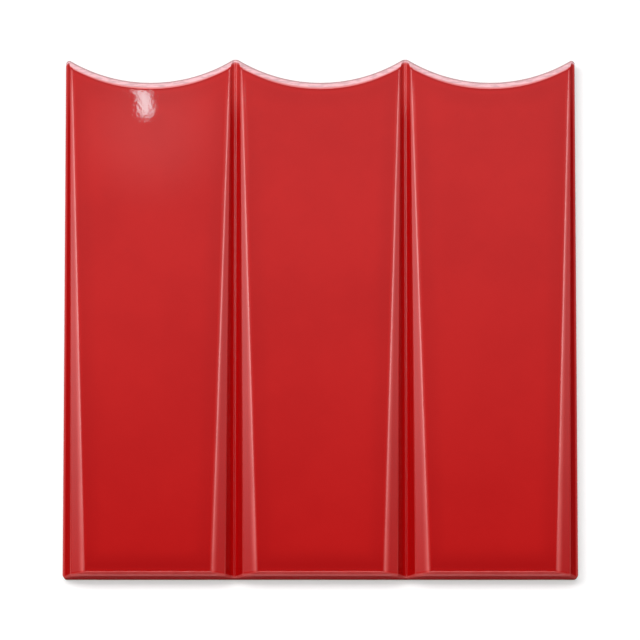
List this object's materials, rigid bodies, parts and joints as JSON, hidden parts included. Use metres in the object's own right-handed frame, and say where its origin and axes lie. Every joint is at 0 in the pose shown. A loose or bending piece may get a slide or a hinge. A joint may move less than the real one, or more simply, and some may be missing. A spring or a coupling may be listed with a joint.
{
  "type": "wall tile",
  "caption": "Glossy red glazed ceramic relief wall tile with flat tapering columns, V grooves between them, a scalloped head and a straight foot; keyed flat back for tile adhesive.",
  "frame": {"origin": "middle of the back face, on the plane that lies against the wall", "axes": "+X across the columns, +Y from the straight foot to the scalloped head, +Z out of the glazed face"},
  "size_m": [0.15, 0.153, 0.011],
  "materials": {
    "red_glaze": "glossy transparent-edged red glaze over a fired clay body, bare on the back"
  },
  "bodies": {
    "root": {"wall_tile": "red_glaze"}
  },
  "joints": []
}
